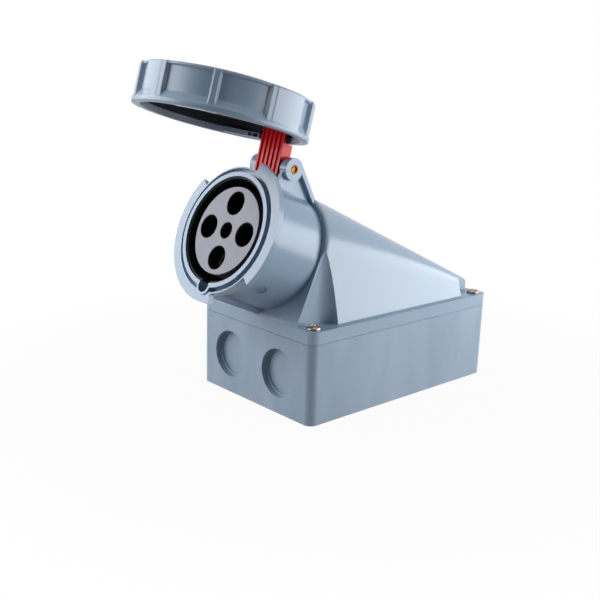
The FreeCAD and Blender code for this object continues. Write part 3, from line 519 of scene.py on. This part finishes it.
def painted_shade_cup(name, radius, depth, bore):
    # one cup with a bored floor, in the mouth's own place
    inner, floor = radius - SHADE_CUP_WALL, SHADE_CUP_FLOOR - depth
    return turned(name, ((radius, 0), (inner, 0), (inner, floor), (bore, floor), (bore, -depth),
                         (radius, -depth)), segments=72)


tree, given, end = growth("phase_shrouds", (("Cup", "NodeSocketObject", None),
                                            ("Circle", "NodeSocketFloat", CONTACT_CIRCLE),
                                            ("Count", "NodeSocketInt", PHASE_COUNT)))
source = wired(tree, "GeometryNodeObjectInfo", {"Object": given["Cup"]})
arc = wired(tree, "GeometryNodeCurveArc", {
    "Start Angle": 0.0, "Sweep Angle": math.pi, "Resolution": given["Count"],
    "Radius": given["Circle"]})
copies = wired(tree, "GeometryNodeInstanceOnPoints", {
    "Points": arc.outputs["Curve"], "Instance": source.outputs["Geometry"]})
finished(tree, copies.outputs["Instances"], end, painted_shade_black)
cup = painted_shade_cup("phase_cup", radius=0.0088, depth=0.0205, bore=0.0041)
phase_shrouds = grown("phase_shrouds", tree, Cup=cup, Circle=CONTACT_CIRCLE, Count=PHASE_COUNT)
bpy.data.objects.remove(cup)
earth_shroud = painted_shade_cup("earth_shroud", radius=0.0088, depth=0.0086, bore=0.0071)
earth_shroud.data.transform(Matrix.Translation((0, -CONTACT_CIRCLE, 0)))
pilot_shroud = painted_shade_cup("pilot_shroud", radius=0.0061, depth=0.0066, bore=0.0051)
for single in (earth_shroud, pilot_shroud):
    single.data.materials.append(painted_shade_black)
for cups in (phase_shrouds, earth_shroud, pilot_shroud):
    cups.data.transform(socket_place @ Matrix.Translation((0, 0, -CARRIER_FACE)))
    smoothed(cups, sharp=40)
    fitted(cups, "housing", "seal_black")


# Contacts. Plated brass sleeves deep in the carrier, each with a steel screw terminal at its back.
# Their dark grey is the plating darkened with painted shade of the deep mouths. The carrier's own screws are of
# the same steel.
# dark grey: the plating with painted shade of the deep mouths
contact_metal = bright_metal("contact_plating_and_shade", "48474b", rough=0.5)
for node in ("phase_contact_1", "phase_contact_2", "phase_contact_3", "earth_contact",
             "pilot_contact"):
    fitted(rounded(node, node.replace("contact", "sleeve"), SMALL_EDGE, contact_metal),
           "housing", "contact_metal", node)
for name, thing in frame["nodes"].items():
    if name.startswith(("terminal_screw", "carrier_screw")):
        thing.data.materials.clear()
        thing.data.materials.append(screw_steel)


# Lid cap. A red moulding: the round cap, its inner rim, and the ribbed arm that ends in the hub
# round the hinge pin.
LID_EDGE = 0.0004
LID_SHINE = 0.25
lid_red = moulded_plastic("lid_red", "e3101e", "d60e1b", rough=0.28, mottle=24.0)
lid_red.node_tree.nodes["Principled BSDF"].inputs["Specular IOR Level"].default_value = LID_SHINE
fitted(rounded("lid_cap", "lid", LID_EDGE, lid_red, weld=0.00012), "lid", "lid_red", "lid_cap")


# Lid gasket. A black rubber ring, pressed into the mouth of the cap, that seals on the rim of the
# collar when the lid is shut.
GASKET_EDGE = 0.0005
gasket_rubber = matt_rubber("gasket_rubber", "20242a")
fitted(rounded("lid_gasket", "gasket", GASKET_EDGE, gasket_rubber),
       "lid", "seal_black", "lid_gasket")


# Bayonet ring. A blue-grey moulding that turns round the cap. Half of it is modelled by rule, a
# wall with pockets, a rib, flats and a grip, and the other half is the same turned by 180 degrees.
RING_RIB = 134.6  # degrees round the ring from its top to the rib, the middle of the modelled half
RING_LEVELS = (  # height over the open edge, and radius at a flat, in a pocket, on a grip, in mm
    (0.0, 58.6, 58.6, 59.4), (0.2, 59.1, 59.1, 59.9), (0.6, 59.4, 59.4, 60.2),
    (3.0, 59.4, 59.4, 60.2), (3.4, 59.25, 59.2, 60.1), (3.8, 58.95, 58.8, 59.7),
    (4.4, 58.8, 58.3, 59.5), (6.0, 58.8, 57.4, 59.5), (7.4, 58.8, 56.5, 59.5),
    (7.9, 58.8, 56.15, 59.5), (8.6, 58.8, 56.0, 59.5), (12.0, 58.8, 56.0, 59.5),
    (18.0, 58.8, 56.0, 59.5), (23.2, 58.8, 56.0, 59.5), (23.7, 58.8, 56.1, 59.5),
    (24.0, 58.8, 57.1, 59.5), (24.2, 58.8, 57.9, 59.5), (24.6, 58.8, 58.15, 59.5),
    (25.3, 58.7, 58.1, 59.4), (25.75, 58.4, 57.9, 59.1), (26.0, 57.8, 57.4, 58.5))
RING_INSIDE = (  # the way back down the bore: radius and height in mm
    (54.0, 26.0), (50.6, 26.0), (50.2, 25.85), (50.0, 25.5), (50.0, 21.3), (50.3, 21.0),
    (54.2, 21.0), (54.2, 12.0), (54.2, 0.4), (54.35, 0.1), (54.7, 0.0))
RING_POCKETS = ((-77.4, -64.6), (-34.2, -2.3), (2.3, 34.2), (54.4, 65.4))  # degrees from the rib
RING_GRIPS = ((-120.0, -77.4), (65.4, 120.0))
RING_PANEL = ((43.5, 54.0),)
RING_THINNER = ((-38.5, 38.5),)
WALL_SLANT = 0.75
PAD_ABOVE = 3.7
PAD_PROUD = 0.22
PANEL_BAND = (3.9, 7.0)
PANEL_SUNK = 0.9
COLUMN_STEP = 1.5
COLUMN_CLEAR = 1.3
COLUMN_FINE = 0.25
RING_HALVES = 2


def within(angle, spans):
    # 1 inside a span and 0 outside, with a rounded way between
    best = 0.0
    for start, end in spans:
        t = min((angle - start) / WALL_SLANT, (end - angle) / WALL_SLANT) * 0.5 + 0.5
        t = min(max(t, 0.0), 1.0)
        best = max(best, t * t * (3 - 2 * t))
    return best


def swept(name, columns, capped=False):
    # a wall through columns of radius and height in mm, each at its own angle round Z
    work = bmesh.new()
    grid = []
    for degrees, outline in columns:
        side, out = math.sin(math.radians(degrees)), math.cos(math.radians(degrees))
        spots = [(r * side / 1000, r * out / 1000, z / 1000) for r, z in outline]
        grid.append([work.verts.new(spot) for spot in spots])
    for a, b in zip(grid, grid[1:]):
        for i in range(len(a)):
            work.faces.new((a[i], a[(i + 1) % len(a)], b[(i + 1) % len(a)], b[i]))
    if capped:
        work.faces.new(grid[0])
        work.faces.new(grid[-1])
    bmesh.ops.recalc_face_normals(work, faces=work.faces)
    return moulding(name, work)


def evenly_turned(tree, shape, count):
    # copies of a shape on Z, turned evenly round it
    spots = wired(tree, "GeometryNodePoints", {"Count": count})
    index = wired(tree, "GeometryNodeInputIndex")
    share = wired(tree, "ShaderNodeMath", {0: index.outputs["Index"], 1: count},
                  operation="DIVIDE")
    turns = wired(tree, "ShaderNodeMath", {0: share.outputs[0], 1: 2 * math.pi},
                  operation="MULTIPLY")
    axis = wired(tree, "ShaderNodeCombineXYZ", {"Z": turns.outputs[0]})
    copies = wired(tree, "GeometryNodeInstanceOnPoints", {
        "Points": spots.outputs["Points"], "Instance": shape, "Rotation": axis.outputs[0]})
    return copies.outputs["Instances"]


ring_plastic = moulded_plastic("ring_plastic", "9baec1", "93a7bb", rough=0.33, mottle=12.0)
angles = {-90 + COLUMN_STEP * i for i in range(round(180 / COLUMN_STEP) + 1)}
for spans in (RING_POCKETS, RING_GRIPS, RING_PANEL, RING_THINNER):
    for edge in (value for span in spans for value in span if abs(value) < 90):
        angles = {a for a in angles if abs(a - edge) > COLUMN_CLEAR}
        angles.update(edge + COLUMN_FINE * k for k in range(-4, 5))
ring_columns = []
for angle in sorted(angles):
    pocket, grip = within(angle, RING_POCKETS), within(angle, RING_GRIPS)
    panel, pad = within(angle, RING_PANEL), 1 - within(angle, RING_THINNER)
    column = []
    for height, flat, in_pocket, on_grip in RING_LEVELS:
        radius = flat + (in_pocket - flat) * pocket + (on_grip - flat) * grip
        if height > PAD_ABOVE:
            radius += PAD_PROUD * pad * (1 - pocket) * (1 - grip)
        if PANEL_BAND[0] < height < PANEL_BAND[1]:
            radius -= PANEL_SUNK * panel
        column.append((radius, height))
    ring_columns.append((RING_RIB + angle, column + list(RING_INSIDE)))
half_ring = swept("half_ring", ring_columns)
tree, given, end = growth("bayonet_ring", (("Half", "NodeSocketObject", None),
                                           ("Halves", "NodeSocketInt", RING_HALVES)))
source = wired(tree, "GeometryNodeObjectInfo", {"Object": given["Half"]})
halves = evenly_turned(tree, source.outputs["Geometry"], given["Halves"])
real = wired(tree, "GeometryNodeRealizeInstances", {"Geometry": halves})
weld = wired(tree, "GeometryNodeMergeByDistance", {
    "Geometry": real.outputs["Geometry"], "Distance": SAME_PLACE})
finished(tree, weld.outputs["Geometry"], end, ring_plastic)
ring = grown("ring", tree, Half=half_ring, Halves=RING_HALVES)
LID_OUT = Vector(twist["axis"]).normalized()
lid_place = seat(Vector(twist["pos_m"]), ACROSS, LID_OUT.cross(ACROSS), LID_OUT)
ring.data.transform(lid_place)
smoothed(ring, sharp=50)
fitted(ring, "ring", "ring_grey", "bayonet_ring")
bpy.data.objects.remove(half_ring)


# Bayonet lugs. Two lugs inside the ring, of one piece with it, go behind the segments of the
# collar; each has two core holes in its inner face.
LUG_ANGLE = 147.0  # degrees round the ring from its top
LUG_SPAN = 32.0
LUG_STEPS = 32
LUG_COUNT = 2
LUG_OUTLINE = ((54.4, 0.5), (48.0, 0.5), (47.7, 0.6), (47.6, 0.9), (47.6, 3.8), (47.7, 4.1),
               (48.0, 4.2), (54.4, 4.2))
CORE_HOLES = ((7.0, 2.6), (12.2, 4.8))  # degrees from the middle of the lug, and width in mm
CORE_OUT = 0.0490
CORE_RISE = 0.0023
CORE_DEPTH = 0.009
CORE_HEIGHT = 0.0026
lug = swept("lug", [(LUG_ANGLE - LUG_SPAN / 2 + LUG_SPAN * step / LUG_STEPS, LUG_OUTLINE)
                    for step in range(LUG_STEPS + 1)], capped=True)
work = bmesh.new()
for offset, wide in CORE_HOLES:
    turn = Matrix.Rotation(-math.radians(LUG_ANGLE + offset), 4, "Z")
    bmesh.ops.create_cube(work, size=1, matrix=turn @ Matrix.Translation((0, CORE_OUT, CORE_RISE))
                          @ Matrix.Diagonal((wide / 1000, CORE_DEPTH, CORE_HEIGHT, 1)))
holes = moulding("core_holes", work)
tree, given, end = growth("lugs", (("Lug", "NodeSocketObject", None),
                                   ("Holes", "NodeSocketObject", None),
                                   ("Count", "NodeSocketInt", LUG_COUNT)))
source = wired(tree, "GeometryNodeObjectInfo", {"Object": given["Lug"]})
cores = wired(tree, "GeometryNodeObjectInfo", {"Object": given["Holes"]})
cut = wired(tree, "GeometryNodeMeshBoolean", {
    "Mesh 1": source.outputs["Geometry"], "Mesh 2": cores.outputs["Geometry"]},
    operation="DIFFERENCE")
finished(tree, evenly_turned(tree, cut.outputs["Mesh"], given["Count"]), end, ring_plastic)
lugs = grown("lugs", tree, Lug=lug, Holes=holes, Count=LUG_COUNT)
lugs.data.transform(lid_place)
fitted(lugs, "ring", "ring_grey")
bpy.data.objects.remove(lug)
bpy.data.objects.remove(holes)


# Ring painted shade. A dark slate band against the bore of the ring, between its lugs and the clip
# ring, is painted shade that makes the inside of the raised lid dark; it is no part of the socket.
SHADE_BAND_OUTER = 0.05415
SHADE_BAND_INNER = 0.0537
SHADE_BAND_LOW = 0.0044
SHADE_BAND_HIGH = 0.0128
painted_shade_band = turned("ring_lining", ((SHADE_BAND_OUTER, SHADE_BAND_LOW), (SHADE_BAND_INNER, SHADE_BAND_LOW),
                                (SHADE_BAND_INNER, SHADE_BAND_HIGH), (SHADE_BAND_OUTER, SHADE_BAND_HIGH)),
                segments=120)
# dark slate painted shade inside the raised lid
painted_shade_band.data.materials.append(matt_rubber("painted_shade_slate", "252d38", rough=0.6))
painted_shade_band.data.transform(lid_place)
smoothed(painted_shade_band, sharp=40)
fitted(painted_shade_band, "ring", "seal_black")


# Retaining ring. A clip ring of the same black plastic as the sleeve, pressed into the bore, keeps
# the bayonet ring on the cap.
fitted(rounded("ring_retainer", "clip_ring", THIN_EDGE, black_plastic),
       "ring", "seal_black", "ring_retainer")


# Floor. The socket lies on its back on plain pale paper, which shows white to the camera, in gloss
# and through glass, and darker to other rays, so that it throws little light up.
FLOOR_COLOUR = (0.2, 0.2, 0.21, 1)
FLOOR_ROUGH = 0.9
FLOOR_HALF = 6
FADE_FROM = 0.1
FADE_TO = 0.42
FADE_LEAST = 0.96  # a trace of the shadow is left under the socket, and none further out


def pale_rays(tree):
    # 1 for rays from the camera, and for those that gloss or glass sends on
    rays = wired(tree, "ShaderNodeLightPath").outputs
    either = wired(tree, "ShaderNodeMath", {0: rays["Is Camera Ray"], 1: rays["Is Glossy Ray"]},
                   operation="MAXIMUM")
    return wired(tree, "ShaderNodeMath", {0: either.outputs[0], 1: rays["Is Transmission Ray"]},
                 operation="MAXIMUM").outputs[0]


def blended(tree, share, first, second, end):
    # the tree's end shows the first shader at share 0 and the second at share 1
    blend = wired(tree, "ShaderNodeMixShader", {"Fac": share, 1: first, 2: second})
    tree.links.new(blend.outputs["Shader"], tree.nodes[end].inputs["Surface"])


def dull_sheet(name, colour, rough):
    # a plain matt material, with its tree and its shader's output
    material = bpy.data.materials.new(name)
    material.use_nodes = True
    shader = material.node_tree.nodes["Principled BSDF"]
    shader.inputs["Base Color"].default_value = colour
    shader.inputs["Roughness"].default_value = rough
    return material, material.node_tree, shader.outputs["BSDF"]


floor_shape = bpy.data.meshes.new("floor")
floor_corners = [(-FLOOR_HALF, -FLOOR_HALF, 0), (FLOOR_HALF, -FLOOR_HALF, 0),
                 (FLOOR_HALF, FLOOR_HALF, 0), (-FLOOR_HALF, FLOOR_HALF, 0)]
floor_shape.from_pydata(floor_corners, [], [(0, 1, 2, 3)])
floor = placed("floor", floor_shape)
paper, tree, plain = dull_sheet("floor_paper", FLOOR_COLOUR, FLOOR_ROUGH)
where = wired(tree, "ShaderNodeTexCoord")
far = wired(tree, "ShaderNodeVectorMath", {0: where.outputs["Object"]}, operation="LENGTH")
fade = wired(tree, "ShaderNodeMapRange", {
    "Value": far.outputs["Value"], "From Min": FADE_FROM, "From Max": FADE_TO,
    "To Min": FADE_LEAST, "To Max": 1.0}, interpolation_type="SMOOTHSTEP")
amount = wired(tree, "ShaderNodeMath", {0: pale_rays(tree), 1: fade.outputs["Result"]},
               operation="MULTIPLY")
glow = wired(tree, "ShaderNodeEmission")
blended(tree, amount.outputs[0], plain, glow.outputs["Emission"], "Material Output")
floor_shape.materials.append(paper)


# Room. The room is white where the camera sees it, directly or in gloss or glass, and throws only
# a weak bluish light on the socket.
ROOM_LIGHT = (0.5, 0.75, 1.0, 1)
ROOM_STRENGTH = 0.13
room = bpy.data.worlds.new("room")
scene.world = room
room.use_nodes = True
tree = room.node_tree
weak = tree.nodes["Background"]
weak.inputs["Color"].default_value = ROOM_LIGHT
weak.inputs["Strength"].default_value = ROOM_STRENGTH
white = wired(tree, "ShaderNodeBackground", {"Color": (1, 1, 1, 1)})
blended(tree, pale_rays(tree), weak.outputs["Background"], white.outputs["Background"],
        "World Output")


# Lights. A large soft light stands on the left, a low one close by on the right and behind, which
# the tail of the cover mirrors, and a weak one hangs over the socket.
LIT_POINT = Vector((0, -0.03, 0.09))


def toward(azimuth, elevation):
    # the way from the socket to a place in the studio, in degrees from its front and from the floor
    a, e = math.radians(azimuth), math.radians(elevation)
    return Vector((math.sin(a) * math.cos(e), -math.cos(a) * math.cos(e), math.sin(e)))


def softbox(name, azimuth, elevation, distance, wide, high, power):
    # a flat soft light, in metres and watts, that faces the socket
    lamp = bpy.data.lights.new(name, "AREA")
    lamp.shape = "RECTANGLE"
    lamp.size = wide
    lamp.size_y = high
    lamp.energy = power
    holder = placed(name, lamp)
    back = toward(azimuth, elevation)
    holder.location = LIT_POINT + back * distance
    holder.rotation_mode = "QUATERNION"
    holder.rotation_quaternion = back.to_track_quat("Z", "Y")


softbox("left_softbox", azimuth=-40, elevation=22, distance=1.3, wide=1.5, high=1.1, power=20)
softbox("right_softbox", azimuth=133, elevation=8, distance=0.62, wide=0.9, high=0.36, power=5.2)
softbox("top_softbox", azimuth=220, elevation=75, distance=1.4, wide=1.0, high=1.0, power=3)


# Curtain. A dark cloth hangs behind the camera, which doesn't see it, and keeps the faces towards
# the camera darker than the others.
CURTAIN_COLOUR = (0.02, 0.025, 0.03, 1)
CURTAIN_AZIMUTH = 47.5
CURTAIN_AWAY = 1.25
CURTAIN_HALF = 1.15
CURTAIN_HIGH = 1.3
to_camera = toward(CURTAIN_AZIMUTH, 0)
across = Vector((0, 0, 1)).cross(to_camera)
foot = to_camera * CURTAIN_AWAY
top = foot + Vector((0, 0, CURTAIN_HIGH))
curtain_shape = bpy.data.meshes.new("curtain")
curtain_shape.from_pydata([foot - across * CURTAIN_HALF, foot + across * CURTAIN_HALF,
                           top + across * CURTAIN_HALF, top - across * CURTAIN_HALF],
                          [], [(0, 1, 2, 3)])
curtain = placed("curtain", curtain_shape)
cloth, tree, plain = dull_sheet("curtain_cloth", CURTAIN_COLOUR, 1.0)
clear = wired(tree, "ShaderNodeBsdfTransparent")
rays = wired(tree, "ShaderNodeLightPath")
blended(tree, rays.outputs["Is Camera Ray"], plain, clear.outputs["BSDF"], "Material Output")
curtain_shape.materials.append(cloth)


# Camera. It stands at the photograph's viewing angle, slightly rolled, and is shifted sideways and
# down to put the socket where it is in the photograph.
CAMERA_AZIMUTH = 47.54
CAMERA_ELEVATION = 14.6
CAMERA_ROLL = math.radians(1.77)
CAMERA_AWAY = 0.69507
CAMERA_LEFT = 0.04007
CAMERA_DOWN = 0.01527
CAMERA_LENS = 51.91
AIM_HEIGHT = 0.08
back = toward(CAMERA_AZIMUTH, CAMERA_ELEVATION)
right = Vector((math.cos(math.radians(CAMERA_AZIMUTH)), math.sin(math.radians(CAMERA_AZIMUTH)), 0))
up = back.cross(right)
right, up = (right * math.cos(CAMERA_ROLL) + up * math.sin(CAMERA_ROLL),
             up * math.cos(CAMERA_ROLL) - right * math.sin(CAMERA_ROLL))
view = bpy.data.cameras.new("camera")
view.lens = CAMERA_LENS
view.sensor_width = 36
view.clip_start, view.clip_end = 0.02, 50
camera = placed("camera", view)
camera.rotation_mode = "QUATERNION"
camera.location = (Vector((0, 0, AIM_HEIGHT)) + back * CAMERA_AWAY - right * CAMERA_LEFT
                   - up * CAMERA_DOWN)
camera.rotation_quaternion = Matrix((right, up, back)).transposed().to_quaternion()
scene.camera = camera
